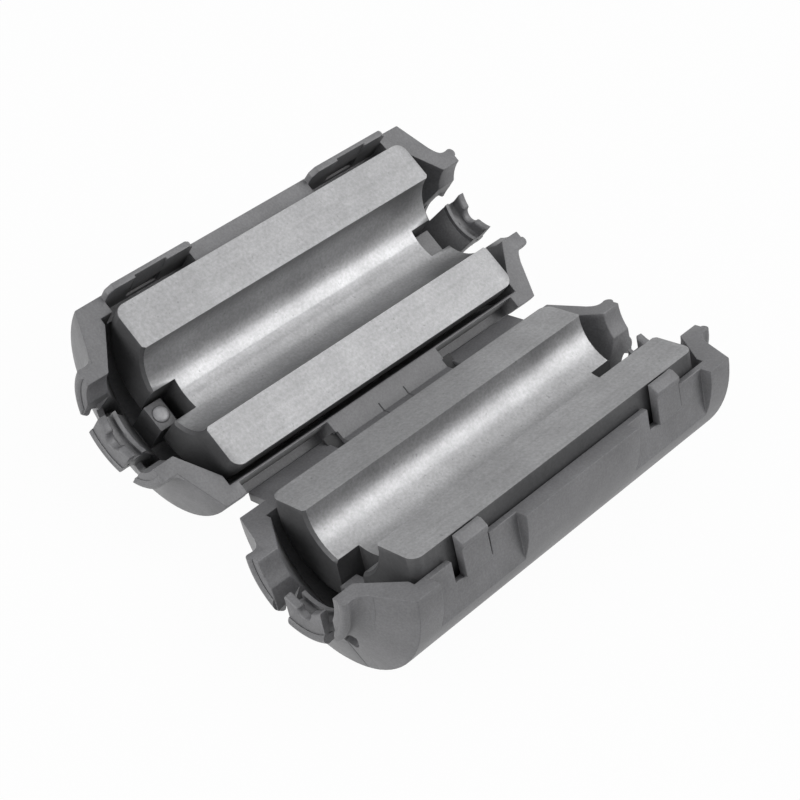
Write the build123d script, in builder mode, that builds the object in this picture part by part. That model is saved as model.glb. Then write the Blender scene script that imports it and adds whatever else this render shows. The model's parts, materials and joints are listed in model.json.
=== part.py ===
from build123d import *
import os
from math import cos, radians, sin

os.makedirs("parts", exist_ok=True)

# Driving dimensions of the ferrite halves, in millimetres
core_length = 20.0
core_width = 9.9
core_height = 4.75
core_bottom_radius = 3.8
core_corner_radius = 0.6
bore_radius = 2.45
float_height = 0.9
notch_length = 1.5
notch_width = 1.8

# Driving dimensions of the moulded case, in millimetres and degrees
wall_thickness = 1.01
body_reach = 1.2
end_reach = 3.05
neck_reach = 2.2
neck_radius = 3.45
lip_radius = 3.72
lip_thickness = 0.6
lip_bevel = 0.2
mouth_radius = 2.55
mouth_reach = 1.8
throat_step = 0.15
hinge_reach = 0.47
half_tilt = 22.93
side_clearance = 0.12
end_clearance = 0.35
floor_clearance = 0.1

# Grip fingers at the ends and the pads that locate the ferrite
finger_width = 2.5
finger_top = 1.15
slot_width = 0.85
slot_reach = 0.4
tip_radius = 1.9
tip_length = 0.5
rib_radius = 2.3
rib_reach = 1.95
rib_width = 0.25
scallop_radius = 0.42
pad_width = 1.5
pad_length = 1.1
pad_gap = 0.1
pad_top = 0.15
boss_radius = 0.45
boss_height = 0.08

# Latch: raised walls on half A lap over flats on half B, hooks on half B
latch_inner = 4.15
latch_outer = 9.6
latch_height = 1.0
latch_wall = 0.36
latch_bevel = 0.35
ramp_depth = 0.14
pocket_depth = 1.4
lap_clearance = 0.1
flat_step = 0.66
hook_centre = 6.93
hook_width = 1.7
hook_root = 1.2
hook_top = 1.0
hook_thickness = 0.48
hook_nose = 0.12
hook_tip = 0.21
nose_start = 0.3
nose_low = 0.5
nose_high = 0.7
hook_gap = 0.06
near_slot = 0.55
far_slot = 0.2
catch_depth = 0.16
catch_margin = 0.15
catch_low = 1.2
catch_high = 0.3

# Film hinge between the halves and the tongues beside it
web_length = 7.6
web_thickness = 0.28
rib_wall = 0.33
recess_inner = 3.95
recess_outer = 9.85
recess_depth = 1.4
tongue_inner = 4.45
tongue_outer = 9.5
tongue_reach = 0.9
tongue_thickness = 0.5
tongue_drop = 0.08

# Sizes that follow from the driving dimensions
body_length = core_length + 2 * body_reach
neck_length = core_length + 2 * neck_reach
mouth_length = core_length + 2 * mouth_reach
overall_length = core_length + 2 * end_reach
slot_root = core_length / 2 + slot_reach
rib_place = core_length / 2 + rib_reach
tilt = radians(half_tilt)
cavity_half_width = core_width / 2 + side_clearance
case_radius = cavity_half_width + wall_thickness
hinge_offset = case_radius + hinge_reach
hinge_height = case_radius - hinge_offset * sin(tilt)
cavity_half_length = core_length / 2 + end_clearance
cavity_depth = core_height + floor_clearance
throat_radius = cavity_depth - throat_step
pocket_face = case_radius - latch_wall
hook_inner = core_width / 2 + side_clearance + hook_gap
hook_outer = hook_inner + hook_thickness
rib_face = cavity_half_width + rib_wall
finger_root = slot_root + slot_width / 2
pad_place = cavity_half_length - pad_length / 2 - pad_gap
pad_height = cavity_depth - bore_radius - pad_top


def half_frame(side):
    """Mating plane of one half: x outward from the hinge, y along, z up out of the half."""
    outward = Vector(side * cos(tilt), 0, sin(tilt))
    normal = Vector(-side * sin(tilt), 0, cos(tilt))
    middle = Vector(0, 0, hinge_height) + outward * hinge_offset
    return Plane(origin=middle, x_dir=outward, z_dir=normal)


def section_plane(frame, along=0.0):
    """Cross-section plane of a half, x outward and y up out of the half."""
    return Plane(
        origin=frame.from_local_coords(Vector(0, along, 0)),
        x_dir=frame.x_dir,
        z_dir=-frame.y_dir,
    )


def spot(frame, across, along, up):
    """The frame of a half, moved to a point given in its own directions."""
    return Plane(
        origin=frame.from_local_coords(Vector(across, along, up)),
        x_dir=frame.x_dir,
        z_dir=frame.z_dir,
    )


def cable_axis(frame):
    """Axis of the closed round case, along the cable."""
    return Axis(frame.origin, frame.y_dir)


frame_a = half_frame(-1)
frame_b = half_frame(1)


def core_section(frame, grow=0.0, drop=0.0, lift=0.0):
    """Cross-section of a ferrite half: flat on top, with rounded lower corners."""
    half = core_width / 2 + grow
    with BuildSketch(section_plane(frame)) as section:
        with BuildLine():
            Polyline(
                (-half, float_height + lift),
                (-half, float_height - core_height - drop),
                (half, float_height - core_height - drop),
                (half, float_height + lift),
                close=True,
            )
        make_face()
        fillet(section.vertices().group_by(Axis.Y)[0], core_bottom_radius)
    return section.sketch


def end_outline(frame):
    """Outline of the closed round case, in the mating plane, from the cable axis outward."""
    lip_start = overall_length / 2 - lip_thickness
    with BuildSketch(frame) as outline:
        with BuildLine():
            Polyline(
                (0, 0),
                (case_radius, 0),
                (case_radius, body_length / 2),
                (neck_radius, neck_length / 2),
                (neck_radius, lip_start),
                (lip_radius, lip_start + lip_bevel),
                (lip_radius, overall_length / 2 - lip_bevel),
                (neck_radius, overall_length / 2),
                (0, overall_length / 2),
                close=True,
            )
        make_face()
        mirror(about=Plane.XZ)
    return outline.sketch


def throat_outline(frame):
    """Hollow that narrows from the ferrite's ends to the cable mouths."""
    with BuildSketch(frame) as outline:
        with BuildLine():
            Polyline(
                (0, 0),
                (throat_radius, 0),
                (throat_radius, cavity_half_length),
                (mouth_radius, mouth_length / 2),
                (mouth_radius, overall_length),
                (0, overall_length),
                close=True,
            )
        make_face()
        mirror(about=Plane.XZ)
    return outline.sketch


def tip_outline(frame, end):
    """Claw and cross rib on the inner side of a grip finger, turned about the cable axis."""
    with BuildSketch(frame) as outline:
        with Locations((0, end * (overall_length - tip_length) / 2)):
            Rectangle(mouth_radius + tip_length, tip_length, align=(Align.MIN, Align.CENTER))
            Rectangle(tip_radius, tip_length, align=(Align.MIN, Align.CENTER), mode=Mode.SUBTRACT)
        with Locations((0, end * rib_place)):
            Rectangle(mouth_radius + rib_width, rib_width, align=(Align.MIN, Align.CENTER))
            Rectangle(rib_radius, rib_width, align=(Align.MIN, Align.CENTER), mode=Mode.SUBTRACT)
    return outline.sketch


def finger_space(frame, end):
    """Gap in an end wall for the grip finger, with a round-ended slot on each side of it."""
    slot_length = overall_length / 2
    with BuildSketch(frame) as space:
        with Locations((0, end * (finger_root + slot_length / 2))):
            Rectangle(finger_width + slot_width, slot_length)
        for side in (-1, 1):
            with Locations((side * (finger_width + slot_width) / 2, end * (slot_root + slot_length / 2))):
                SlotOverall(slot_length, slot_width, rotation=90)
    return space.sketch


def half_shell(frame):
    """One half of the round case with its cavity, cable mouths, finger slots and pads."""
    with BuildPart() as shell:
        revolve(profiles=end_outline(frame), axis=cable_axis(frame))
        split(bisect_by=frame, keep=Keep.BOTTOM)
        extrude(
            to_extrude=core_section(frame, side_clearance, float_height + floor_clearance, case_radius),
            amount=cavity_half_length,
            both=True,
            mode=Mode.SUBTRACT,
        )
        revolve(profiles=throat_outline(frame), axis=cable_axis(frame), mode=Mode.SUBTRACT)
        for end in (-1, 1):
            # Space for the grip finger and the round-ended slots beside it
            extrude(to_extrude=finger_space(frame, end), amount=-2 * case_radius, mode=Mode.SUBTRACT)
            # Pad that stands in the notch of the ferrite and guides it
            with Locations(spot(frame, 0, end * pad_place, -cavity_depth)):
                Box(pad_width, pad_length, pad_height, align=(Align.CENTER, Align.CENTER, Align.MIN))
    return shell.part


def grip_finger(frame, end):
    """Spring finger at one cable mouth: tapered strip, cross rib and scalloped claw."""
    with BuildPart() as finger:
        revolve(profiles=end_outline(frame), axis=cable_axis(frame))
        revolve(profiles=throat_outline(frame), axis=cable_axis(frame), mode=Mode.SUBTRACT)
        revolve(profiles=tip_outline(frame, end), axis=cable_axis(frame))
        with Locations(spot(frame, 0, end * (finger_root + case_radius), -case_radius)):
            Box(finger_width, 2 * case_radius, 2 * (case_radius - finger_top), mode=Mode.INTERSECT)
        # Scallop between the two bumps of the claw
        with BuildSketch(section_plane(frame, end * overall_length / 2)):
            with Locations((0, -tip_radius)):
                Circle(scallop_radius)
        extrude(amount=2 * tip_length, both=True, mode=Mode.SUBTRACT)
    return finger.part


def ferrite_half(frame):
    """Ground ferrite half with its half-round channel and a notch in each end."""
    with BuildPart() as core:
        extrude(to_extrude=core_section(frame), amount=core_length / 2, both=True)
        with BuildSketch(section_plane(frame)):
            with Locations((0, float_height)):
                Circle(bore_radius)
        extrude(amount=core_length / 2, both=True, mode=Mode.SUBTRACT)
        upright = core.edges().filter_by(Axis(frame.origin, frame.z_dir))
        outward = Axis(frame.origin, frame.x_dir)
        fillet(upright.group_by(outward)[0] + upright.group_by(outward)[-1], core_corner_radius)
        for end in (-1, 1):
            with Locations(spot(frame, 0, end * (core_length - notch_length) / 2, 0)):
                Box(notch_width, notch_length, 2 * core_height, mode=Mode.SUBTRACT)
    return core.part


def latch_wall_outline(frame, end):
    """Outline of a raised wall on the round outer side, with bevelled upper corners."""
    face = Plane(
        origin=frame.from_local_coords(Vector(case_radius, 0, 0)),
        x_dir=frame.y_dir,
        z_dir=frame.x_dir,
    )
    with BuildSketch(face) as outline:
        with BuildLine():
            Polyline(
                (end * latch_inner, 0),
                (end * latch_inner, latch_height - latch_bevel),
                (end * (latch_inner + latch_bevel), latch_height),
                (end * (latch_outer - latch_bevel), latch_height),
                (end * latch_outer, latch_height - latch_bevel),
                (end * latch_outer, 0),
                close=True,
            )
        make_face()
    return outline.sketch


# Half A: shell with the raised latch walls and the recess for the tongues
with BuildPart() as case_half_a:
    add(half_shell(frame_a))
    # Round mark of an ejector pin on the pad at the near end
    with Locations(spot(frame_a, 0, pad_place, -cavity_depth + pad_height)):
        Cylinder(boss_radius, boss_height, align=(Align.CENTER, Align.CENTER, Align.MIN))
    for end in (-1, 1):
        latch_middle = end * (latch_inner + latch_outer) / 2
        extrude(to_extrude=latch_wall_outline(frame_a, end), amount=-latch_wall)
        with Locations(spot(frame_a, pocket_face, latch_middle, 0)):
            Box(
                pocket_face - core_width / 2,
                latch_outer - latch_inner,
                2 * pocket_depth,
                align=(Align.MAX, Align.CENTER, Align.CENTER),
                mode=Mode.SUBTRACT,
            )
        # Shallow catch that holds the nose of the hook
        with Locations(spot(frame_a, pocket_face, end * hook_centre, -(catch_low + catch_high) / 2)):
            Box(
                catch_depth,
                hook_width + 2 * catch_margin,
                catch_low - catch_high,
                align=(Align.MIN, Align.CENTER, Align.CENTER),
                mode=Mode.SUBTRACT,
            )
        # Lead-in ramp that guides the nose of the hook
        with BuildSketch(section_plane(frame_a, end * hook_centre)):
            with BuildLine():
                Polyline(
                    (pocket_face, 0),
                    (pocket_face, latch_height),
                    (pocket_face + ramp_depth, latch_height),
                    close=True,
                )
            make_face()
        extrude(amount=hook_width / 2 + catch_margin, both=True, mode=Mode.SUBTRACT)
        with Locations(spot(frame_a, -rib_face, end * (recess_inner + recess_outer) / 2, 0)):
            Box(
                case_radius,
                recess_outer - recess_inner,
                2 * recess_depth,
                align=(Align.MAX, Align.CENTER, Align.CENTER),
                mode=Mode.SUBTRACT,
            )
case_half_a.part.label = "case_half_a"

# Half B: shell with the flats, the notches of the hooks and the hinge tongues
with BuildPart() as case_half_b:
    add(half_shell(frame_b))
    for end in (-1, 1):
        flat_length = latch_outer - latch_inner + 2 * lap_clearance
        with Locations(spot(frame_b, case_radius - flat_step, end * (latch_inner + latch_outer) / 2, 0)):
            Box(
                case_radius,
                flat_length,
                case_radius,
                align=(Align.MIN, Align.CENTER, Align.CENTER),
                mode=Mode.SUBTRACT,
            )
        # Notch for the hook, wider on the side of the near end
        notch_middle = end * hook_centre + (far_slot - near_slot) / 2
        with Locations(spot(frame_b, core_width / 2, notch_middle, 0)):
            Box(
                case_radius,
                near_slot + hook_width + far_slot,
                2 * hook_root,
                align=(Align.MIN, Align.CENTER, Align.CENTER),
                mode=Mode.SUBTRACT,
            )
        tongue_middle = end * (tongue_inner + tongue_outer) / 2
        with Locations(spot(frame_b, -hinge_offset - tongue_reach, tongue_middle, -tongue_drop)):
            Box(
                hinge_offset + tongue_reach - rib_face,
                tongue_outer - tongue_inner,
                tongue_thickness,
                align=(Align.MIN, Align.CENTER, Align.MAX),
            )
case_half_b.part.label = "case_half_b"


def latch_hook(frame, end):
    """Springy hook that stands on the wall of half B, with a small outward nose."""
    with BuildPart() as hook:
        with BuildSketch(section_plane(frame, end * hook_centre)):
            with BuildLine():
                Polyline(
                    (hook_inner, -hook_root),
                    (hook_outer, -hook_root),
                    (hook_outer, nose_start),
                    (hook_outer + hook_nose, nose_low),
                    (hook_outer + hook_nose, nose_high),
                    (hook_inner + hook_tip, hook_top),
                    (hook_inner, hook_top),
                    close=True,
                )
            make_face()
        extrude(amount=hook_width / 2, both=True)
    return hook.part


hook_near = latch_hook(frame_b, -1)
hook_far = latch_hook(frame_b, 1)
hook_near.label = "latch_hook_near"
hook_far.label = "latch_hook_far"

# Film hinge: thin web across the gap, folded as the halves lie open
with BuildPart() as hinge_web:
    with BuildSketch(Plane.XZ):
        with BuildLine():
            inner_a = frame_a.from_local_coords(Vector(-case_radius, 0, 0))
            lower_a = frame_a.from_local_coords(Vector(-case_radius, 0, -web_thickness))
            inner_b = frame_b.from_local_coords(Vector(-case_radius, 0, 0))
            lower_b = frame_b.from_local_coords(Vector(-case_radius, 0, -web_thickness))
            fold = hinge_height - web_thickness / cos(tilt)
            Polyline(
                (inner_a.X, inner_a.Z),
                (0, hinge_height),
                (inner_b.X, inner_b.Z),
                (lower_b.X, lower_b.Z),
                (0, fold),
                (lower_a.X, lower_a.Z),
                close=True,
            )
        make_face()
    extrude(amount=web_length / 2, both=True)
hinge_web.part.label = "hinge_web"

ferrite_a = ferrite_half(frame_a)
ferrite_a.label = "ferrite_a"
ferrite_b = ferrite_half(frame_b)
ferrite_b.label = "ferrite_b"

export_step(case_half_a.part, "parts/case_half_a.step")
export_step(case_half_b.part, "parts/case_half_b.step")
export_step(hinge_web.part, "parts/hinge_web.step")
export_step(ferrite_a, "parts/ferrite_a.step")
export_step(ferrite_b, "parts/ferrite_b.step")
export_step(hook_near, "parts/latch_hook_near.step")
export_step(hook_far, "parts/latch_hook_far.step")

# Four grip fingers, one at each cable mouth of each half
for half_name, frame in (("a", frame_a), ("b", frame_b)):
    for end_name, end in (("near", -1), ("far", 1)):
        side = end if half_name == "b" else -end
        finger = grip_finger(frame, side)
        finger.label = f"grip_finger_{half_name}_{end_name}"
        export_step(finger, f"parts/{finger.label}.step")
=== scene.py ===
"""Dresses the packed clip-on ferrite core: nylon case, ferrite halves, film hinge and grips."""

import json
from math import cos, pi, radians, sin

import bmesh
import bpy
from mathutils import Matrix, Vector

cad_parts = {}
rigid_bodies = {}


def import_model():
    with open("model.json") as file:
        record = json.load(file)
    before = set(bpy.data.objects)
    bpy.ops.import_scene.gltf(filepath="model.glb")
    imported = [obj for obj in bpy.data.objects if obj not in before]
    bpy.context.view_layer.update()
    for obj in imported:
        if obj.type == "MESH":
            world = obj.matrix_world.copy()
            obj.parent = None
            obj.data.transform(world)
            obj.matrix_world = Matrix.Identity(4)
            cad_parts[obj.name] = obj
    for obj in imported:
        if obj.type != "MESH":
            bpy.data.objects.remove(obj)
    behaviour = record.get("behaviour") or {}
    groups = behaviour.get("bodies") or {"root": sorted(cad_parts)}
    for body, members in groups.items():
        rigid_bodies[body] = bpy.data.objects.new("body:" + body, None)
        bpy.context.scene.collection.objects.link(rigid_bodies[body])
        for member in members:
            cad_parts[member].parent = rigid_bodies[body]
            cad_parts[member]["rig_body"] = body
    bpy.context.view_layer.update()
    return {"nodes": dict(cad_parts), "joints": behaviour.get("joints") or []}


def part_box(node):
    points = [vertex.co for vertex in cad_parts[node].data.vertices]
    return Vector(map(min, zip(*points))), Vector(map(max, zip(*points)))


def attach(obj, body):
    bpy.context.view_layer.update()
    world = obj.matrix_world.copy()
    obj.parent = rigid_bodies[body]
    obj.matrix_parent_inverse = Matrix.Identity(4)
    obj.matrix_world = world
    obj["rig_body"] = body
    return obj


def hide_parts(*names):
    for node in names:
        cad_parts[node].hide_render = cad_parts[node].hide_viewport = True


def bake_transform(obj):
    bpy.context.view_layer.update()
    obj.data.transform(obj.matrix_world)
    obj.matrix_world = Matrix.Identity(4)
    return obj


bl_info = {
    "name": "Clip-on Ferrite Core",
    "version": (1, 0, 0),
    "blender": (4, 5, 0),
    "location": "3D View > Sidebar > Ferrite Core",
    "description": "Builds the softened pieces, finishes and studio of an open clip-on ferrite core",
    "category": "Object",
}

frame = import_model()

MM = 0.001

# Places on a half as packed: x outward from the hinge, y along the cable,
# z up out of the mating plane
HALF_TILT = radians(22.93)
HINGE_TO_MIDDLE = 6.55 * MM
CASE_RADIUS = 6.08 * MM
RIM_INSIDE = 5.07 * MM
RIM_LEAN = 0.2 * MM
WEB_HALF_LENGTH = 4 * MM
FERRITE_PROUD = 0.9 * MM
FERRITE_END = 10 * MM
CHANNEL_RADIUS = 2.45 * MM
CLAW_START = 12.5 * MM
CLAW_REACH = 2.6 * MM
LIP_START = 12.1 * MM
NECK_RADIUS = 3.42 * MM
GRIP_ROUND = 0.03 * MM
GRIP_CHAMFER = 0.13 * MM
CLOSE = 0.02 * MM

# Angles between faces: from CREASE on an edge gets rounded, from HARD on it is shaded as an edge
CREASE = radians(28)
HARD = radians(42)
LIP_HARD = radians(50)
PIN_HARD = radians(60)

# Finishes of a piece, and the places of the ferrite's in its list
NYLON_FINISHES = ["nylon_skin"]
FERRITE_FINISHES = ["ferrite_ground", "ferrite_channel", "ferrite_unground_and_shade"]
CHANNEL, UNGROUND_AND_SHADE = 1, 2

# Pin mark on the near pad of half A, in millimetres
PIN_RADIUS = 0.42
PIN_RISE = 0.1
PIN_ALONG = 9.7
PIN_DEPTH = 2.53
PIN_SPOKES = 32

# Distance between nodes in the node editor
GRID = (190, -170)

# Soft lights: name, place, size, and share of the key light's power
LAMPS = [
    ("back_softbox", (0.1635, 0.159, 0.195), 0.18, 1.1),
    ("top_softbox", (-0.01, 0.16, 0.3), 0.3, 0.75),
    ("front_softbox", (-0.07, -0.3, 0.1), 0.26, 2.0),
]
LAMP_TARGET = (0, 0, 0.004)
CAMERA_RIGHT = (0.711, 0.697, 0.092)
CAMERA_BACK = (0.425, -0.530, 0.734)
FILL_COLOUR = (0.96, 0.98, 1.0, 1)
WHITE = (1, 1, 1, 1)
FLOOR_COLOUR = (0.55, 0.55, 0.55, 1)
FLOOR_HALF_SIZE = 1.2
FLOOR_WHITENESS = 0.965


# Sizes and colours that a user may change


class CaseFinish(bpy.types.PropertyGroup):
    """Look of the moulded nylon."""

    colour: bpy.props.FloatVectorProperty(
        name="Nylon colour",
        description="Base colour of the moulded nylon",
        subtype="COLOR",
        size=3,
        min=0.0,
        max=1.0,
        default=(0.127, 0.126, 0.13),
    )
    rubbed_colour: bpy.props.FloatVectorProperty(
        name="Rubbed colour",
        description="Colour of the nylon where it has been rubbed",
        subtype="COLOR",
        size=3,
        min=0.0,
        max=1.0,
        default=(0.178, 0.177, 0.182),
    )
    roughness: bpy.props.FloatProperty(
        name="Roughness",
        description="Gloss of the moulded skin, from 0 for polished to 1 for matt",
        default=0.46,
        min=0.0,
        max=1.0,
    )
    grain: bpy.props.FloatProperty(
        name="Grain size",
        description="Width of the fine spark-erosion grain",
        default=0.00011,
        min=0.00001,
        max=0.002,
        unit="LENGTH",
    )
    edge_round: bpy.props.FloatProperty(
        name="Edge rounding",
        description="Width of the small rounding along moulded edges",
        default=0.00005,
        min=0.0,
        max=0.0005,
        unit="LENGTH",
    )


class FerriteFinish(bpy.types.PropertyGroup):
    """Look of the ground ferrite."""

    colour: bpy.props.FloatVectorProperty(
        name="Ferrite colour",
        description="Base colour of the sintered ferrite",
        subtype="COLOR",
        size=3,
        min=0.0,
        max=1.0,
        default=(0.25, 0.25, 0.254),
    )
    pore_colour: bpy.props.FloatVectorProperty(
        name="Pore colour",
        description="Colour of the tiny pores in the ground faces",
        subtype="COLOR",
        size=3,
        min=0.0,
        max=1.0,
        default=(0.11, 0.11, 0.113),
    )
    # Colour of the sides and ends: partly the darker sintered skin, partly painted shade
    side_and_shade_colour: bpy.props.FloatVectorProperty(
        name="Unground colour",
        description="Colour of the darker sintered skin on the sides and ends",
        subtype="COLOR",
        size=3,
        min=0.0,
        max=1.0,
        default=(0.062, 0.062, 0.064),
    )
    ground_roughness: bpy.props.FloatProperty(
        name="Ground roughness",
        description="Gloss of the ground mating faces",
        default=0.4,
        min=0.0,
        max=1.0,
    )
    bore_roughness: bpy.props.FloatProperty(
        name="Channel roughness",
        description="Gloss of the sintered skin in the cable channel",
        default=0.35,
        min=0.0,
        max=1.0,
    )
    ring_chamfer: bpy.props.FloatProperty(
        name="Channel chamfer",
        description="Width of the chamfer round each end of the cable channel",
        default=0.00016,
        min=0.0,
        max=0.0005,
        unit="LENGTH",
    )
    edge_break: bpy.props.FloatProperty(
        name="Edge break",
        description="Width of the broken edges of the ferrite",
        default=0.00002,
        min=0.0,
        max=0.0005,
        unit="LENGTH",
    )


class LipShape(bpy.types.PropertyGroup):
    """Rounded lip round each cable mouth."""

    sweep_radius: bpy.props.FloatProperty(
        name="Sweep radius",
        description="Distance from the cable axis at which the lip outline has its zero",
        default=0.003,
        min=0.001,
        max=0.01,
        unit="LENGTH",
    )
    bead_middle: bpy.props.FloatProperty(
        name="Bead middle",
        description="Distance of the bead's middle from the middle of the case, along the cable",
        default=0.0129,
        min=0.005,
        max=0.03,
        unit="LENGTH",
    )
    bead_rise: bpy.props.FloatProperty(
        name="Bead rise",
        description="Distance of the middle of the bead from the cable axis",
        default=0.00317,
        min=0.001,
        max=0.01,
        unit="LENGTH",
    )
    bead_radius: bpy.props.FloatProperty(
        name="Bead radius",
        description="Radius of the rounded lip",
        default=0.00029,
        min=0.0001,
        max=0.001,
        unit="LENGTH",
    )
    slot_side: bpy.props.FloatProperty(
        name="Slot side",
        description="Distance of the far side of a slot from the middle of its grip finger",
        default=0.00212,
        min=0.001,
        max=0.004,
        unit="LENGTH",
    )
    finger_side: bpy.props.FloatProperty(
        name="Finger side",
        description="Distance of the side of a grip finger from its middle",
        default=0.00124,
        min=0.0005,
        max=0.003,
        unit="LENGTH",
    )


class HingeShape(bpy.types.PropertyGroup):
    """Film hinge sizes."""

    seam_place: bpy.props.FloatProperty(
        name="Seam place",
        description="Distance of each fold seam from the middle of the web",
        default=0.0009,
        min=0.0002,
        max=0.003,
        unit="LENGTH",
    )
    seam_depth: bpy.props.FloatProperty(
        name="Seam depth",
        description="Depth of each seam across the web",
        default=0.00007,
        min=0.0,
        max=0.0002,
        unit="LENGTH",
    )
    # The flash is a thin sheet below each web end, dark with painted shade that stands for the deep
    # gap there
    shade_flash_length: bpy.props.FloatProperty(
        name="Flash length",
        description="How far the thin flash runs on past each end of the web",
        default=0.0008,
        min=0.0,
        max=0.002,
        unit="LENGTH",
    )
    shade_flash_depth: bpy.props.FloatProperty(
        name="Flash depth",
        description="Depth of the flash below the top of the web",
        default=0.00027,
        min=0.0001,
        max=0.001,
        unit="LENGTH",
    )
    shade_flash_thickness: bpy.props.FloatProperty(
        name="Flash thickness",
        description="Thickness of the flash",
        default=0.0002,
        min=0.00005,
        max=0.0005,
        unit="LENGTH",
    )
    thickness: bpy.props.FloatProperty(
        name="Web thickness",
        description="Thickness of the film hinge",
        default=0.00028,
        min=0.0001,
        max=0.0006,
        unit="LENGTH",
    )


class StudioSettings(bpy.types.PropertyGroup):
    """Light and camera."""

    camera_place: bpy.props.FloatVectorProperty(
        name="Camera place",
        description="Where the camera stands",
        size=3,
        subtype="TRANSLATION",
        unit="LENGTH",
        default=(0.0391, -0.0485, 0.0710),
    )
    lens: bpy.props.FloatProperty(
        name="Lens",
        description="Focal length on a 36 mm wide sensor, in millimetres",
        default=80.8,
        min=10.0,
        max=300.0,
    )
    key_power: bpy.props.FloatProperty(
        name="Key light",
        description="Power of the soft light behind the object, in watts",
        default=0.4,
        min=0.0,
        max=10.0,
    )
    fill_strength: bpy.props.FloatProperty(
        name="Fill",
        description="Strength of the even light from all round",
        default=0.5,
        min=0.0,
        max=2.0,
    )


def settings(name):
    """One group of settings of the scene."""
    return getattr(bpy.context.scene, "ferrite_core_" + name)


# Places on the object


def joint_place(name):
    """Axis point of a joint, in metres, in the shared frame."""
    for joint in frame["joints"]:
        if joint["name"] == name:
            return Vector(joint["pos_m"])
    raise RuntimeError(f"no joint named {name}")


def half_matrix(half):
    """Matrix of a half: x outward from the hinge, y along the cable, z up out of the mating plane."""
    side = -1 if half == "a" else 1
    outward = Vector((side * cos(HALF_TILT), 0, sin(HALF_TILT)))
    normal = Vector((-side * sin(HALF_TILT), 0, cos(HALF_TILT)))
    along = normal.cross(outward)
    middle = joint_place("case_hinge") + outward * HINGE_TO_MIDDLE
    matrix = Matrix((outward, along, normal)).transposed().to_4x4()
    matrix.translation = Vector((middle.x, 0, middle.z))
    return matrix


def end_sign(half, end):
    """Sign of the near or far end along the cable, in the half's own directions."""
    near = 1 if half == "a" else -1
    return near if end == "near" else -near


# Node helpers


def node(tree, kind, place, **values):
    """A new node at a grid place, with its properties or unlinked inputs set."""
    made = tree.nodes.new(kind)
    made.location = (place[0] * GRID[0], place[1] * GRID[1])
    for key, value in values.items():
        if hasattr(made, key):
            setattr(made, key, value)
        else:
            made.inputs[key.replace("_", " ")].default_value = value
    return made


def link(tree, start, end):
    """Joins an output socket to an input socket."""
    tree.links.new(start, end)


def new_material(name):
    """An empty node material with its output, shader and Object coordinates."""
    material = bpy.data.materials.new(name)
    material.use_nodes = True
    tree = material.node_tree
    tree.nodes.clear()
    output = node(tree, "ShaderNodeOutputMaterial", (8, 0))
    shader = node(tree, "ShaderNodeBsdfPrincipled", (7, 0))
    link(tree, shader.outputs["BSDF"], output.inputs["Surface"])
    coordinates = node(tree, "ShaderNodeTexCoord", (0, 0))
    return material, tree, shader, coordinates.outputs["Object"]


def noise(tree, vector, place, size, detail=3.0, roughness=0.5, stretch=(1, 1, 1)):
    """Noise whose features are about size metres wide."""
    mapping = node(tree, "ShaderNodeMapping", place)
    mapping.inputs["Scale"].default_value = [s / size for s in stretch]
    link(tree, vector, mapping.inputs["Vector"])
    texture = node(tree, "ShaderNodeTexNoise", (place[0] + 1, place[1]), noise_dimensions="3D")
    texture.inputs["Scale"].default_value = 1.0
    texture.inputs["Detail"].default_value = detail
    texture.inputs["Roughness"].default_value = roughness
    link(tree, mapping.outputs["Vector"], texture.inputs["Vector"])
    return texture.outputs["Fac"]


def ramp(tree, factor, place, stops):
    """Colour ramp whose stops are (position, grey or colour)."""
    made = node(tree, "ShaderNodeValToRGB", place)
    elements = made.color_ramp.elements
    while len(elements) < len(stops):
        elements.new(0.5)
    for element, (position, colour) in zip(elements, stops):
        element.position = position
        grey = isinstance(colour, (int, float))
        element.color = (colour, colour, colour, 1) if grey else (*colour, 1)
    link(tree, factor, made.inputs["Fac"])
    return made.outputs["Color"]


def mixed(tree, factor, first, second, place, blend="MIX"):
    """Colour mix of two sockets or colours."""
    made = node(tree, "ShaderNodeMix", place, data_type="RGBA", blend_type=blend)
    for socket, value in ((0, factor), (6, first), (7, second)):
        target = made.inputs[socket]
        if isinstance(value, bpy.types.NodeSocket):
            link(tree, value, target)
        elif isinstance(value, (int, float)):
            target.default_value = value
        else:
            target.default_value = (*value, 1)
    return made.outputs[2]


def spread(tree, factor, place, low, high):
    """Maps a 0 to 1 factor onto low to high."""
    made = node(tree, "ShaderNodeMapRange", place)
    made.inputs["To Min"].default_value = low
    made.inputs["To Max"].default_value = high
    link(tree, factor, made.inputs["Value"])
    return made.outputs["Result"]


def bump(tree, height, place, distance, strength=1.0, below=None):
    """Bump of a height in metres."""
    made = node(tree, "ShaderNodeBump", place)
    made.inputs["Distance"].default_value = distance
    made.inputs["Strength"].default_value = strength
    link(tree, height, made.inputs["Height"])
    if below is not None:
        link(tree, below, made.inputs["Normal"])
    return made.outputs["Normal"]


# Finishes


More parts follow.
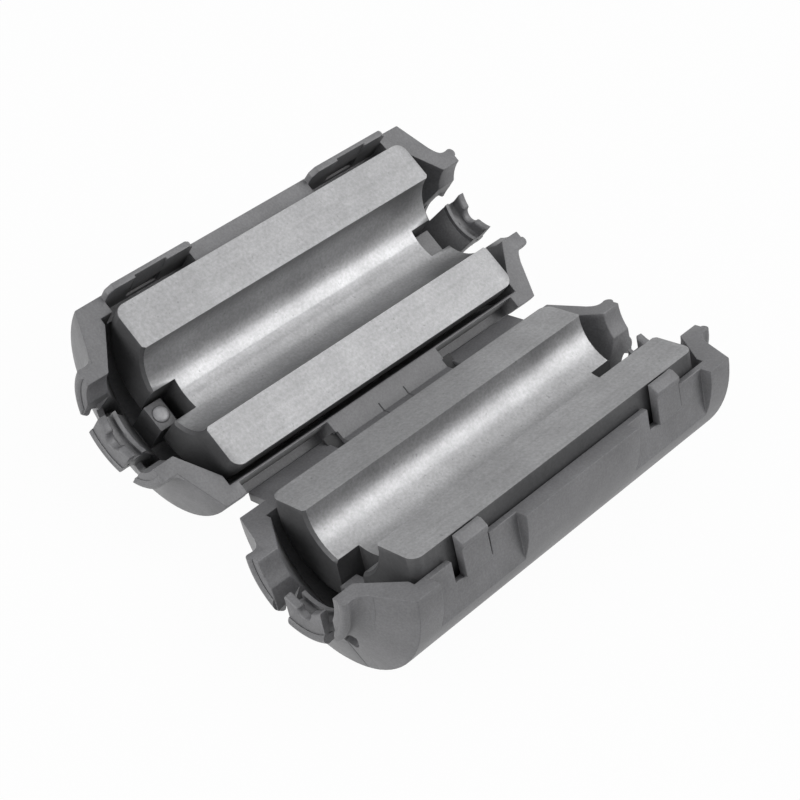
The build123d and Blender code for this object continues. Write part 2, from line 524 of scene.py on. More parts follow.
def nylon(name, colour, rubbed, roughness, grain, rub=0.0):
    """Moulded nylon: cloudy colour, fine eroded grain, faint flow streaks and sparse scuffs."""
    material, tree, shader, place = new_material(name)
    clouds = noise(tree, place, (1, 0), size=0.0022, detail=4.0, roughness=0.55)
    grains = noise(tree, place, (1, 1), size=grain, detail=2.0, roughness=0.6)
    streaks = noise(tree, place, (1, 2), size=0.0009, stretch=(1, 0.16, 1))
    across = (0.35, 1, 1)
    scuffs = noise(tree, place, (1, 3), size=0.0004, detail=5.0, roughness=0.7, stretch=across)
    darker = [0.84 * c for c in colour]
    lighter = [1.14 * c for c in colour]
    base = ramp(tree, clouds, (3, 0), [(0.3, darker), (0.72, lighter)])
    speck = ramp(tree, grains, (3, 1), [(0.36, 0.86), (0.66, 1.1)])
    base = mixed(tree, 1.0, base, speck, (4, 0), "MULTIPLY")
    wear_stops = [(0.6 - 0.2 * rub, 0.0), (0.82 - 0.1 * rub, 0.35 + 0.5 * rub)]
    wear = ramp(tree, scuffs, (3, 3), wear_stops)
    base = mixed(tree, wear, base, rubbed, (5, 0))
    link(tree, base, shader.inputs["Base Color"])
    gloss = spread(tree, streaks, (5, 1), roughness - 0.07, roughness + 0.1)
    link(tree, gloss, shader.inputs["Roughness"])
    relief = bump(tree, grains, (5, 2), distance=0.000012, strength=0.55)
    relief = bump(tree, streaks, (6, 2), distance=0.00002, strength=0.3, below=relief)
    link(tree, relief, shader.inputs["Normal"])
    shader.inputs["IOR"].default_value = 1.53
    return material


def ferrite_skin(name, colour, pore, roughness, metal, marks):
    """Sintered ferrite: speckled grey, tiny pores, and fine grinding lines along the cable."""
    material, tree, shader, place = new_material(name)
    clouds = noise(tree, place, (1, 0), size=0.0035, detail=4.0, roughness=0.6)
    speckle = noise(tree, place, (1, 1), size=0.00016, roughness=0.65)
    along = (1, 0.02, 1)
    lines = noise(tree, place, (1, 2), size=0.00022, detail=4.0, roughness=0.6, stretch=along)
    pores = noise(tree, place, (1, 3), size=0.0002, detail=2.0)
    dust = noise(tree, place, (1, 4), size=0.0011, detail=6.0, roughness=0.72, stretch=(1, 0.5, 1))
    darker = [0.86 * c for c in colour]
    lighter = [1.13 * c for c in colour]
    base = ramp(tree, clouds, (3, 0), [(0.3, darker), (0.7, lighter)])
    speck = ramp(tree, speckle, (3, 1), [(0.34, 0.86), (0.68, 1.12)])
    base = mixed(tree, 1.0, base, speck, (4, 0), "MULTIPLY")
    grinding = ramp(tree, lines, (3, 2), [(0.38, 0.95), (0.62, 1.04)])
    base = mixed(tree, marks, base, grinding, (5, 0), "MULTIPLY")
    holes = ramp(tree, pores, (3, 3), [(0.26, 0.5), (0.31, 0.0)])
    base = mixed(tree, holes, base, pore, (6, 0))
    bright = [min(1.0, 1.2 * c) for c in colour]
    scuffed = ramp(tree, dust, (3, 4), [(0.58, 0.0), (0.8, 0.3)])
    base = mixed(tree, scuffed, base, bright, (6, 1))
    link(tree, base, shader.inputs["Base Color"])
    gloss = spread(tree, dust, (6, 2), roughness - 0.08, roughness + 0.12)
    link(tree, gloss, shader.inputs["Roughness"])
    relief = bump(tree, lines, (5, 3), distance=0.000006, strength=0.3 * marks)
    relief = bump(tree, speckle, (6, 3), distance=0.00001, strength=0.5, below=relief)
    link(tree, relief, shader.inputs["Normal"])
    shader.inputs["Metallic"].default_value = metal
    shader.inputs["IOR"].default_value = 1.6
    return material


def shade(share, colour):
    """A lighter or darker shade of a colour."""
    return [share * c for c in colour]


def finishes():
    """The finishes of the object, made once."""
    if "nylon_skin" not in bpy.data.materials:
        case = settings("case")
        colour, rubbed, grain = case.colour, case.rubbed_colour, case.grain
        nylon("nylon_skin", colour, rubbed, case.roughness, grain)
        # Dark nylon of the flash: a fifth of the nylon's colour, painted shade for the deep gap
        # beside the web
        nylon("nylon_painted_shade", shade(0.22, colour), shade(0.25, colour), 0.7, grain)
        # Pin mark nylon: glossier, with a colour 2.4 times the nylon's as a painted highlight
        nylon("nylon_polished_painted_highlight", shade(2.4, colour), rubbed, 0.3, 2 * grain, rub=0.3)
        core = settings("ferrite")
        colour, pore, side = core.colour, core.pore_colour, core.side_and_shade_colour
        ferrite_skin("ferrite_ground", colour, pore, core.ground_roughness, metal=0.55, marks=1.0)
        colour = shade(1.03, colour)
        ferrite_skin("ferrite_channel", colour, pore, core.bore_roughness, metal=0.7, marks=0.1)
        # Sides and ends: darker sintered skin, with painted shade on top of it
        ferrite_skin("ferrite_unground_and_shade", side, shade(0.5, side), 0.5, metal=0.3, marks=0.1)
    return bpy.data.materials


# Shaping


def close_to(value, target, tolerance=CLOSE):
    """True when a measure is within a tolerance of another."""
    return abs(value - target) < tolerance


def ends_of(inverse, edge):
    """The two ends of an edge in a half's own directions."""
    return [inverse @ vertex.co for vertex in edge.verts]


def creased(edge):
    """True for an edge between two faces that meet at a clear angle."""
    return len(edge.link_faces) == 2 and edge.calc_face_angle() >= CREASE


def from_axis(point, rise=0.0):
    """Distance of a point from the cable axis, or from a line above it, in a half's directions."""
    return Vector((point.x, point.z - rise)).length


def add_object(name, data):
    """A new object in the scene that shows a mesh, a lamp or a camera."""
    made = bpy.data.objects.new(name, data)
    bpy.context.scene.collection.objects.link(made)
    return made


def finished_mesh(name, shape):
    """A new mesh from an edited shape, which is freed."""
    mesh = bpy.data.meshes.new(name)
    shape.to_mesh(mesh)
    shape.free()
    return mesh


def round_edges(shape, edges, width, steps):
    """Rounds or chamfers edges. The new faces get material index 1, as a mark."""
    bmesh.ops.bevel(
        shape,
        geom=edges,
        offset=width,
        offset_type="OFFSET",
        segments=steps,
        profile=0.5,
        affect="EDGES",
        clamp_overlap=False,
        material=1,
    )


def softened_copy(
    cad_node,
    name,
    width,
    steps,
    materials,
    moved=None,
    kept=None,
    chamfered=None,
    chamfer=0.0,
    facets=1,
):
    """Copy of a CAD node with rounded edges.

    Kept edges stay sharp, and chamfered ones have their own width and number of facets.
    """
    shape = bmesh.new()
    shape.from_mesh(frame["nodes"][cad_node].data)
    bmesh.ops.remove_doubles(shape, verts=shape.verts, dist=1e-6)
    bmesh.ops.dissolve_limit(shape, angle_limit=radians(0.8), verts=shape.verts, edges=shape.edges)
    for face in shape.faces:
        face.material_index = 0
        face.smooth = True
    if moved:
        for vertex in shape.verts:
            moved(vertex)
    if chamfered:
        round_edges(shape, [e for e in shape.edges if chamfered(e)], chamfer, facets)
    sharp = []
    for edge in shape.edges:
        done = any(face.material_index == 1 for face in edge.link_faces)
        if creased(edge) and not done and not (kept and kept(edge)):
            sharp.append(edge)
    round_edges(shape, sharp, width, steps)
    bmesh.ops.triangulate(shape, faces=[f for f in shape.faces if len(f.verts) > 4])
    for face in shape.faces:
        face.material_index = 0
    for edge in shape.edges:
        edge.smooth = len(edge.link_faces) == 2 and edge.calc_face_angle() < HARD
    mesh = finished_mesh(name, shape)
    for material in materials:
        mesh.materials.append(finishes()[material])
    piece = add_object(name, mesh)
    weighted = piece.modifiers.new("even_shading", "WEIGHTED_NORMAL")
    weighted.keep_sharp = True
    weighted.weight = 60
    return piece


def plain_mesh(piece):
    """Bakes a piece's modifiers into a plain mesh and removes them."""
    bpy.context.view_layer.update()
    evaluated = piece.evaluated_get(bpy.context.evaluated_depsgraph_get())
    mesh = bpy.data.meshes.new_from_object(evaluated)
    mesh.name = piece.name
    piece.modifiers.clear()
    piece.data = mesh
    return piece


def body_of(cad_node):
    """Name of the CAD body that a node rides on."""
    return frame["nodes"][cad_node]["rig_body"]


def on_web_line(inverse, edge):
    """True for the edge of a shell where the film hinge runs into it."""
    ends = ends_of(inverse, edge)
    on_rim = all(close_to(p.x, -CASE_RADIUS) and close_to(p.z, 0) for p in ends)
    return on_rim and all(abs(p.y) < WEB_HALF_LENGTH for p in ends)


def along_channel(inverse, edge):
    """True for the two long edges where the cable channel meets the ground face."""
    ends = ends_of(inverse, edge)
    return all(close_to(abs(p.x), CHANNEL_RADIUS) and close_to(p.z, FERRITE_PROUD) for p in ends)


def on_finger_tip(inverse, edge):
    """True for the edges round the inner side of a grip finger's claw."""
    ends = ends_of(inverse, edge)
    return creased(edge) and all(abs(p.y) > CLAW_START and from_axis(p) < CLAW_REACH for p in ends)


def on_channel_end(inverse, edge):
    """True for the edges where the cable channel meets the ends of a ferrite half."""
    ends = ends_of(inverse, edge)
    if not creased(edge) or ends[0].y * ends[1].y < 0:
        return False
    radii = [from_axis(p, FERRITE_PROUD) for p in ends]
    at_end = all(close_to(abs(p.y), FERRITE_END, 0.01 * MM) for p in ends)
    return at_end and all(close_to(radius, CHANNEL_RADIUS, 0.03 * MM) for radius in radii)


def drop_lip(half, vertex):
    """Lowers the CAD's lip to the neck, since the rounded lip takes its place."""
    place = half_matrix(half)
    point = place.inverted() @ vertex.co
    radius = from_axis(point)
    if abs(point.y) > LIP_START and radius > NECK_RADIUS:
        point.x *= NECK_RADIUS / radius
        point.z *= NECK_RADIUS / radius
        vertex.co = place @ point


def shape_shell(half, vertex):
    """Lowers the lip, and leans the wall beside ferrite A outward, so that its rim gets thin."""
    drop_lip(half, vertex)
    place = half_matrix(half)
    point = place.inverted() @ vertex.co
    if half == "a" and close_to(point.x, -RIM_INSIDE) and close_to(point.z, 0):
        point.x -= RIM_LEAN
        vertex.co = place @ point


# Lips round the cable mouths


def lip_tree():
    """Sweeps an outline along an arc round the cable axis and repeats it on the other side."""
    tree = bpy.data.node_groups.new("rounded_lip", "GeometryNodeTree")
    sockets = tree.interface
    sockets.new_socket("Outline", in_out="INPUT", socket_type="NodeSocketGeometry")
    for name in ("Sweep Radius", "Start Angle", "Sweep Angle", "Turn Between"):
        sockets.new_socket(name, in_out="INPUT", socket_type="NodeSocketFloat")
    sockets.new_socket("Count", in_out="INPUT", socket_type="NodeSocketInt")
    sockets.new_socket("Finish", in_out="INPUT", socket_type="NodeSocketMaterial")
    sockets.new_socket("Geometry", in_out="OUTPUT", socket_type="NodeSocketGeometry")
    inputs = node(tree, "NodeGroupInput", (0, 0))
    arc = node(tree, "GeometryNodeCurveArc", (1, 0), mode="RADIUS")
    arc.inputs["Resolution"].default_value = 24
    outline = node(tree, "GeometryNodeMeshToCurve", (1, 1))
    swept = node(tree, "GeometryNodeCurveToMesh", (2, 0))
    swept.inputs["Fill Caps"].default_value = True
    line = node(tree, "GeometryNodeMeshLine", (2, 2), mode="OFFSET", count_mode="TOTAL")
    line.inputs["Offset"].default_value = (0, 0, 0)
    index = node(tree, "GeometryNodeInputIndex", (2, 3))
    turn = node(tree, "ShaderNodeMath", (3, 3), operation="MULTIPLY")
    axis = node(tree, "ShaderNodeCombineXYZ", (4, 3))
    copies = node(tree, "GeometryNodeInstanceOnPoints", (4, 0))
    real = node(tree, "GeometryNodeRealizeInstances", (5, 0))
    smooth = node(tree, "GeometryNodeSetShadeSmooth", (6, 0))
    finish = node(tree, "GeometryNodeSetMaterial", (7, 0))
    output = node(tree, "NodeGroupOutput", (8, 0))
    link(tree, inputs.outputs["Outline"], outline.inputs["Mesh"])
    link(tree, inputs.outputs["Sweep Radius"], arc.inputs["Radius"])
    link(tree, inputs.outputs["Start Angle"], arc.inputs["Start Angle"])
    link(tree, inputs.outputs["Sweep Angle"], arc.inputs["Sweep Angle"])
    link(tree, inputs.outputs["Count"], line.inputs["Count"])
    link(tree, arc.outputs["Curve"], swept.inputs["Curve"])
    link(tree, outline.outputs["Curve"], swept.inputs["Profile Curve"])
    link(tree, index.outputs[0], turn.inputs[0])
    link(tree, inputs.outputs["Turn Between"], turn.inputs[1])
    link(tree, turn.outputs[0], axis.inputs["Z"])
    link(tree, line.outputs["Mesh"], copies.inputs["Points"])
    link(tree, swept.outputs["Mesh"], copies.inputs["Instance"])
    link(tree, axis.outputs[0], copies.inputs["Rotation"])
    link(tree, copies.outputs[0], real.inputs[0])
    link(tree, real.outputs[0], smooth.inputs[0])
    link(tree, smooth.outputs[0], finish.inputs["Geometry"])
    link(tree, inputs.outputs["Finish"], finish.inputs["Material"])
    link(tree, finish.outputs[0], output.inputs[0])
    return tree


def made_by_nodes(name, tree, outline, values):
    """Plain mesh object at the origin, made by a node tree from a closed outline and its inputs."""
    mesh = bpy.data.meshes.new(name)
    count = len(outline)
    around = [(i, (i + 1) % count) for i in range(count)]
    mesh.from_pydata([(x, y, 0) for x, y in outline], around, [])
    piece = add_object(name, mesh)
    modifier = piece.modifiers.new("shape", "NODES")
    modifier.node_group = tree
    for item in tree.interface.items_tree:
        if item.in_out == "INPUT" and item.name in values:
            modifier[item.identifier] = values[item.name]
    piece = plain_mesh(piece)
    piece.data.materials.clear()
    piece.data.materials.append(values["Finish"])
    return piece


def lip_outline(lip):
    """Outline of the lip: hollow run-out on the taper, round bead, and back inside the wall."""
    # Radius and distance along the cable, in millimetres
    hollow = [(4.06, 11.97), (3.88, 12.06), (3.72, 12.15), (3.59, 12.25)]
    hollow += [(3.5, 12.36), (3.45, 12.48), (3.43, 12.6)]
    inside = [(2.98, 12.95), (3.1, 12.3), (3.6, 11.95)]
    points = [(radius * MM, along * MM) for radius, along in hollow]
    for degrees in range(115, -55, -15):
        turn = radians(degrees)
        radius = lip.bead_rise + lip.bead_radius * sin(turn)
        points.append((radius, lip.bead_middle + lip.bead_radius * cos(turn)))
    points += [(radius * MM, along * MM) for radius, along in inside]
    return [(radius - lip.sweep_radius, -along) for radius, along in points]


def square_ends(mesh, reach, outside):
    """Flattens the ends of a swept lip: what is inside, or outside, a reach is slid to it."""
    shape = bmesh.new()
    shape.from_mesh(mesh)
    for vertex in shape.verts:
        point = vertex.co
        radius = Vector((point.x, point.y)).length
        if (abs(point.y) < reach) == outside:
            point.y = reach if point.y > 0 else -reach
            point.x = (radius**2 - reach**2) ** 0.5
    bmesh.ops.remove_doubles(shape, verts=shape.verts, dist=1e-7)
    shape.to_mesh(mesh)
    shape.free()


def merged(name, pieces):
    """One mesh object from several at the origin that share one finish."""
    finish = pieces[0].data.materials[0]
    shape = bmesh.new()
    for piece in pieces:
        shape.from_mesh(piece.data)
        bpy.data.objects.remove(piece)
    mesh = finished_mesh(name, shape)
    mesh.materials.append(finish)
    mesh.set_sharp_from_angle(angle=LIP_HARD)
    return add_object(name, mesh)


def mouth_matrix(half, sign):
    """Directions of a cable mouth: x down out of the half, y across, z outward along the cable."""
    matrix = half_matrix(half)
    down, outward = -matrix.col[2].to_3d(), matrix.col[1].to_3d() * sign
    placed = Matrix((down, outward.cross(down), outward)).transposed().to_4x4()
    placed.translation = matrix.translation
    return placed


def slot_floor(name, side):
    """Moulded wall that closes the root of a slot beside a grip finger, in a mouth's directions."""
    # In millimetres: the wall across, the slot across and its root, and how the case tapers
    wall_start, wall_width = 1.27, 2.15 - 1.27
    slot_middle, root, root_radius = (1.25 + 2.1) / 2, 11.82, 0.5
    case_radius, taper, slope = CASE_RADIUS / MM, 11.2, 2.63
    wall_end, wall_inside, top_depth, under_depth = 10.3, 10.7, 0.02, 0.36
    # Directions into the tapered wall, and the mean backward one where the taper starts
    inward, backward, backward_at_bend = 0.356, 0.935, 0.6
    columns = 10
    shape = bmesh.new()
    skins = []
    for depth in (top_depth, under_depth):
        rows = []
        for i in range(columns + 1):
            u = wall_start + wall_width * i / columns
            reach = root + root_radius - (root_radius**2 - (u - slot_middle) ** 2) ** 0.5
            row = []
            for along in (wall_end, wall_inside, taper, (taper + reach) / 2, reach):
                radius, back = case_radius - depth, 0.0
                if along >= taper:
                    radius = case_radius - slope * (along - taper) - depth * inward
                    back = depth * (backward_at_bend if along == taper else backward)
                x = (radius**2 - u**2) ** 0.5
                row.append(shape.verts.new((x * MM, side * u * MM, (along - back) * MM)))
            rows.append(row)
        skins.append(rows)
    top, under = skins
    last = len(top[0]) - 1
    for rows in skins:
        for i in range(columns):
            for j in range(last):
                shape.faces.new((rows[i][j], rows[i + 1][j], rows[i + 1][j + 1], rows[i][j + 1]))
    for i in range(columns):
        for j in (0, last):
            shape.faces.new((top[i][j], top[i + 1][j], under[i + 1][j], under[i][j]))
    for j in range(last):
        for i in (0, columns):
            shape.faces.new((top[i][j], top[i][j + 1], under[i][j + 1], under[i][j]))
    bmesh.ops.recalc_face_normals(shape, faces=shape.faces)
    for face in shape.faces:
        face.smooth = True
    mesh = finished_mesh(name, shape)
    mesh.materials.append(finishes()["nylon_skin"])
    return add_object(name, mesh)


# Operators


class BuildShells(bpy.types.Operator):
    """Builds the two half shells of the moulded case with softened edges"""

    bl_idname = "ferrite_core.build_shells"
    bl_label = "Build half shells"

    def execute(self, context):
        width = settings("case").edge_round
        for half in "ab":
            cad_node = f"case_half_{half}"
            inverse = half_matrix(half).inverted()
            piece = softened_copy(
                cad_node,
                f"shell_{half}",
                width,
                2,
                NYLON_FINISHES,
                moved=lambda v: shape_shell(half, v),
                kept=lambda e: on_web_line(inverse, e),
            )
            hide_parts(cad_node)
            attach(piece, body_of(cad_node))
        return {"FINISHED"}


class BuildLips(bpy.types.Operator):
    """Builds the rounded lips round the cable mouths with geometry nodes"""

    bl_idname = "ferrite_core.build_lips"
    bl_label = "Build rounded lips"

    def execute(self, context):
        lip = settings("lip")
        tree = lip_tree()
        outline = lip_outline(lip)
        # Angles from straight down out of the half. The petals stop just below the mating plane.
        petal_end = pi / 2 - 0.004
        slot_angle, tip_angle = radians(34), radians(25)
        petal = {
            "Sweep Radius": lip.sweep_radius,
            "Start Angle": -petal_end,
            "Sweep Angle": petal_end - slot_angle,
            "Turn Between": petal_end + slot_angle,
            "Count": 2,
            "Finish": finishes()["nylon_skin"],
        }
        tip = dict(petal)
        tip.update({"Start Angle": -tip_angle, "Sweep Angle": 2 * tip_angle, "Count": 1})
        for half in "ab":
            petals = []
            for end in ("near", "far"):
                place = mouth_matrix(half, end_sign(half, end))
                piece = made_by_nodes(f"lip_{half}_{end}", tree, outline, petal)
                square_ends(piece.data, lip.slot_side, True)
                floors = [slot_floor(f"slot_floor_{half}_{end}_{side}", side) for side in (-1, 1)]
                for part in [piece] + floors:
                    part.data.transform(place)
                    petals.append(part)
                piece = made_by_nodes(f"grip_lip_{half}_{end}", tree, outline, tip)
                square_ends(piece.data, lip.finger_side, False)
                piece.data.transform(place)
                piece.data.set_sharp_from_angle(angle=LIP_HARD)
                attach(piece, body_of(f"grip_finger_{half}_{end}"))
            piece = merged(f"mouth_lips_{half}", petals)
            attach(piece, body_of(f"case_half_{half}"))
        return {"FINISHED"}


class BuildPinMark(bpy.types.Operator):
    """Builds the glossy round pin mark on the near pad of half A, whose lighter colour is a painted
    highlight
    """

    bl_idname = "ferrite_core.build_pin_mark"
    bl_label = "Build pin mark"

    def execute(self, context):
        place = half_matrix("a")
        shape = bmesh.new()
        rings = []
        for degrees in range(0, 90, 15):
            radius, rise = PIN_RADIUS * cos(radians(degrees)), PIN_RISE * sin(radians(degrees))
            ring = []
            for step in range(PIN_SPOKES):
                turn = 2 * pi * step / PIN_SPOKES
                y = PIN_ALONG + radius * sin(turn)
                point = Vector((radius * cos(turn), y, rise - PIN_DEPTH))
                ring.append(shape.verts.new(place @ (point * MM)))
            rings.append(ring)
        for low, high in zip(rings, rings[1:]):
            for i in range(PIN_SPOKES):
                j = (i + 1) % PIN_SPOKES
                shape.faces.new((low[i], low[j], high[j], high[i]))
        shape.faces.new(rings[-1])
        shape.faces.new(reversed(rings[0]))
        bmesh.ops.recalc_face_normals(shape, faces=shape.faces)
        for face in shape.faces:
            face.smooth = True
        mesh = finished_mesh("pin_mark", shape)
        mesh.set_sharp_from_angle(angle=PIN_HARD)
        mesh.materials.append(finishes()["nylon_polished_painted_highlight"])
        piece = add_object("pin_mark", mesh)
        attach(piece, body_of("case_half_a"))
        return {"FINISHED"}


class BuildHinge(bpy.types.Operator):
    """Builds the film hinge that joins the shells, with its two seams"""

    bl_idname = "ferrite_core.build_hinge"
    bl_label = "Build film hinge"

    def execute(self, context):
        hinge = settings("hinge")
        low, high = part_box("hinge_web")
        axis = joint_place("case_hinge")
        reach = high.x
        rise = reach * sin(HALF_TILT) / cos(HALF_TILT)
        half_seam = 0.00005
        stations = [(low.y, 0.0)]
        for seam in (-hinge.seam_place, hinge.seam_place):
            stations += [(seam - half_seam, 0.0), (seam, hinge.seam_depth), (seam + half_seam, 0.0)]
        stations.append((high.y, 0.0))
        shape = bmesh.new()
        web = [(y, depth, hinge.thickness) for y, depth in stations]
        self.add_strip(shape, web, reach, rise, axis.z)
        # Thin flash below each end of the web, a sheet in painted shade where the gap beside the web
        # is deep
        top, bottom = hinge.shade_flash_depth, hinge.shade_flash_depth + hinge.shade_flash_thickness
        for end, way in ((low.y, -1), (high.y, 1)):
            inside, outside = end - way * half_seam, end + way * hinge.shade_flash_length
            shade_flash = [(inside, top, bottom), (outside, top, bottom)]
            self.add_strip(shape, shade_flash, reach, rise, axis.z)
        bmesh.ops.recalc_face_normals(shape, faces=shape.faces)
        # Faces of the flash get the dark finish, which is painted shade
        for face in shape.faces:
            middle = abs(face.calc_center_median().y)
            face.material_index = 1 if middle > high.y + half_seam else 0
        mesh = finished_mesh("film_hinge", shape)
        mesh.materials.append(finishes()["nylon_skin"])
        mesh.materials.append(finishes()["nylon_painted_shade"])
        piece = add_object("film_hinge", mesh)
        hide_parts("hinge_web")
        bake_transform(piece)
        return {"FINISHED"}

    def add_strip(self, shape, stations, reach, rise, height):
        """Strip folded along the hinge axis, from places along it with a top and a bottom depth."""
        slope, lean = cos(HALF_TILT), sin(HALF_TILT)
        rows = []
        for y, top, bottom in stations:
            row = [
                (-reach - top * lean, y, height + rise - top * slope),
                (0, y, height - top / slope),
                (reach + top * lean, y, height + rise - top * slope),
                (reach + bottom * lean, y, height + rise - bottom * slope),
                (0, y, height - bottom / slope),
                (-reach - bottom * lean, y, height + rise - bottom * slope),
            ]
            rows.append([shape.verts.new(point) for point in row])
        for first, second in zip(rows, rows[1:]):
            for i in range(6):
                j = (i + 1) % 6
                shape.faces.new((first[i], first[j], second[j], second[i]))
        shape.faces.new(reversed(rows[0]))
        shape.faces.new(rows[-1])


class BuildFerrites(bpy.types.Operator):
    """Builds the two ground ferrite halves with broken edges and a smoother channel"""

    bl_idname = "ferrite_core.build_ferrites"
    bl_label = "Build ferrite halves"

    def execute(self, context):
        core = settings("ferrite")
        for half in "ab":
            cad_node = f"ferrite_{half}"
            inverse = half_matrix(half).inverted()
            piece = softened_copy(
                cad_node,
                f"ferrite_half_{half}",
                core.edge_break,
                2,
                FERRITE_FINISHES,
                kept=lambda e: along_channel(inverse, e),
                chamfered=lambda e: on_channel_end(inverse, e),
                chamfer=core.ring_chamfer,
            )
            # Only the faces that look straight up are ground. The others, except the channel, get the
            # darker unground finish, which is partly the sintered skin and partly painted shade
            turn = inverse.to_3x3()
            for face in piece.data.polygons:
                if (turn @ face.normal).z < 0.99:
                    radius = from_axis(inverse @ face.center, FERRITE_PROUD)
                    inside = radius < CHANNEL_RADIUS + CLOSE
                    face.material_index = CHANNEL if inside else UNGROUND_AND_SHADE
            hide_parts(cad_node)
            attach(piece, body_of(cad_node))
        return {"FINISHED"}


class BuildHooks(bpy.types.Operator):
    """Builds the two springy latch hooks"""

    bl_idname = "ferrite_core.build_hooks"
    bl_label = "Build latch hooks"

    def execute(self, context):
        width = settings("case").edge_round
        for end in ("near", "far"):
            cad_node = f"latch_hook_{end}"
            piece = softened_copy(cad_node, f"snap_hook_{end}", width, 3, NYLON_FINISHES)
            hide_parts(cad_node)
            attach(piece, body_of(cad_node))
        return {"FINISHED"}


class BuildGrips(bpy.types.Operator):
    """Builds the four spring fingers that hold the cable"""

    bl_idname = "ferrite_core.build_grips"
    bl_label = "Build grip fingers"

    def execute(self, context):
        for half in "ab":
            inverse = half_matrix(half).inverted()
            for end in ("near", "far"):
                cad_node = f"grip_finger_{half}_{end}"
                piece = softened_copy(
                    cad_node,
                    f"cable_grip_{half}_{end}",
                    GRIP_ROUND,
                    2,
                    NYLON_FINISHES,
                    moved=lambda v: drop_lip(half, v),
                    chamfered=lambda e: on_finger_tip(inverse, e),
                    chamfer=GRIP_CHAMFER,
                    facets=3,
                )
                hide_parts(cad_node)
                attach(piece, body_of(cad_node))
        return {"FINISHED"}


class BuildStudio(bpy.types.Operator):
    """Sets the pale floor, the soft lights and the camera at the photograph's angle"""

    bl_idname = "ferrite_core.build_studio"
    bl_label = "Build studio"

    def execute(self, context):
        scene = context.scene
        scene.view_settings.view_transform = "Standard"
        studio = settings("studio")
        shape = bmesh.new()
        bmesh.ops.create_grid(shape, x_segments=8, y_segments=8, size=FLOOR_HALF_SIZE)
        floor = add_object("studio_floor", finished_mesh("studio_floor", shape))
        floor.data.materials.append(floor_finish())
        world = bpy.data.worlds.new("studio_world")
        scene.world = world
        world.use_nodes = True
        tree = world.node_tree
        tree.nodes.clear()
        output = node(tree, "ShaderNodeOutputWorld", (4, 0))
        white = node(tree, "ShaderNodeBackground", (2, 0), Strength=1.0)
        white.inputs["Color"].default_value = WHITE
        soft = node(tree, "ShaderNodeBackground", (2, 1), Strength=studio.fill_strength)
        soft.inputs["Color"].default_value = FILL_COLOUR
        blend = node(tree, "ShaderNodeMixShader", (3, 0))
        link(tree, seen_rays(tree, (0, 0)), blend.inputs["Fac"])
        link(tree, soft.outputs[0], blend.inputs[1])
        link(tree, white.outputs[0], blend.inputs[2])
        link(tree, blend.outputs[0], output.inputs["Surface"])
        for name, place, size, share in LAMPS:
            add_lamp(name, place, size, share * studio.key_power)
        self.add_camera(scene, studio)
        return {"FINISHED"}

    def add_camera(self, scene, studio):
        """Camera at the photograph's place, direction and roll."""
        data = bpy.data.cameras.new("photo_camera")
        data.sensor_width = 36
        data.lens = studio.lens
        data.clip_start = 0.001
        camera = add_object("photo_camera", data)
        right = Vector(CAMERA_RIGHT).normalized()
        back = Vector(CAMERA_BACK).normalized()
        up = back.cross(right).normalized()
        right = up.cross(back)
        matrix = Matrix((right, up, back)).transposed().to_4x4()
        matrix.translation = Vector(studio.camera_place)
        camera.matrix_world = matrix
        scene.camera = camera


def seen_rays(tree, place):
    """Socket that is 1 for camera, glossy and transmission rays, which show the background."""
    rays = node(tree, "ShaderNodeLightPath", place)
    total = rays.outputs["Is Camera Ray"]
    for i, kind in enumerate(("Is Glossy Ray", "Is Transmission Ray")):
        beside = (place[0] + 1 + i, place[1] + 1)
        larger = node(tree, "ShaderNodeMath", beside, operation="MAXIMUM")
        link(tree, total, larger.inputs[0])
        link(tree, rays.outputs[kind], larger.inputs[1])
        total = larger.outputs[0]
    return total


def floor_finish():
    """Pale floor: white to the camera and in reflections, and it keeps the object's shadow."""
    material = bpy.data.materials.new("pale_floor")
    material.use_nodes = True
    tree = material.node_tree
    tree.nodes.clear()
    output = node(tree, "ShaderNodeOutputMaterial", (5, 0))
    paper = node(tree, "ShaderNodeBsdfDiffuse", (2, 0))
    paper.inputs["Color"].default_value = FLOOR_COLOUR
    white = node(tree, "ShaderNodeEmission", (2, 1), Strength=1.0)
    white.inputs["Color"].default_value = WHITE
    share = node(tree, "ShaderNodeMath", (3, 2), operation="MULTIPLY")
    share.inputs[1].default_value = FLOOR_WHITENESS
    blend = node(tree, "ShaderNodeMixShader", (4, 0))
    link(tree, seen_rays(tree, (0, 2)), share.inputs[0])
    link(tree, share.outputs[0], blend.inputs["Fac"])
    link(tree, paper.outputs[0], blend.inputs[1])
    link(tree, white.outputs[0], blend.inputs[2])
    link(tree, blend.outputs[0], output.inputs["Surface"])
    return material


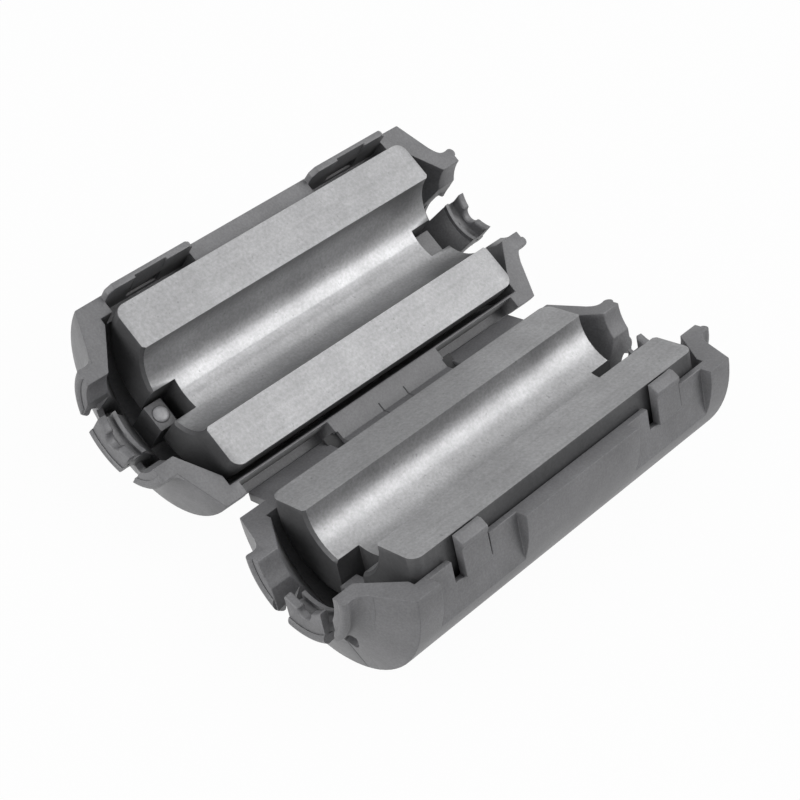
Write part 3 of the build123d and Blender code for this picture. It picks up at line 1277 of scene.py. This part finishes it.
def add_lamp(name, place, size, power):
    """Square soft light aimed at the object."""
    data = bpy.data.lights.new(name, "AREA")
    data.shape = "SQUARE"
    data.size = size
    data.energy = power
    lamp = add_object(name, data)
    lamp.location = place
    direction = Vector(LAMP_TARGET) - Vector(place)
    lamp.rotation_euler = direction.to_track_quat("-Z", "Y").to_euler()


class FerriteCorePanel(bpy.types.Panel):
    """Lists the pieces and settings of the clip-on ferrite core"""

    bl_idname = "VIEW3D_PT_ferrite_core"
    bl_label = "Clip-on ferrite core"
    bl_space_type = "VIEW_3D"
    bl_region_type = "UI"
    bl_category = "Ferrite Core"

    def draw(self, context):
        layout = self.layout
        for name, group in GROUPS.items():
            box = layout.box()
            box.label(text=group.__doc__)
            for key in group.__annotations__:
                box.prop(settings(name), key)
        for operator in OPERATORS:
            layout.operator(operator.bl_idname)


GROUPS = {
    "case": CaseFinish,
    "ferrite": FerriteFinish,
    "lip": LipShape,
    "hinge": HingeShape,
    "studio": StudioSettings,
}
OPERATORS = [
    BuildShells,
    BuildLips,
    BuildPinMark,
    BuildHinge,
    BuildFerrites,
    BuildHooks,
    BuildGrips,
    BuildStudio,
]


def register():
    """Adds the settings, operators and panel to Blender."""
    for group in GROUPS.values():
        bpy.utils.register_class(group)
    for operator in OPERATORS:
        bpy.utils.register_class(operator)
    bpy.utils.register_class(FerriteCorePanel)
    for name, group in GROUPS.items():
        setattr(bpy.types.Scene, "ferrite_core_" + name, bpy.props.PointerProperty(type=group))


def unregister():
    """Takes the settings, operators and panel away again."""
    for name in GROUPS:
        delattr(bpy.types.Scene, "ferrite_core_" + name)
    bpy.utils.unregister_class(FerriteCorePanel)
    for operator in reversed(OPERATORS):
        bpy.utils.unregister_class(operator)
    for group in reversed(list(GROUPS.values())):
        bpy.utils.unregister_class(group)


def main():
    """Builds every piece and the studio."""
    register()
    bpy.ops.ferrite_core.build_shells()
    bpy.ops.ferrite_core.build_lips()
    bpy.ops.ferrite_core.build_pin_mark()
    bpy.ops.ferrite_core.build_hinge()
    bpy.ops.ferrite_core.build_ferrites()
    bpy.ops.ferrite_core.build_hooks()
    bpy.ops.ferrite_core.build_grips()
    bpy.ops.ferrite_core.build_studio()


if __name__ == "__main__":
    main()
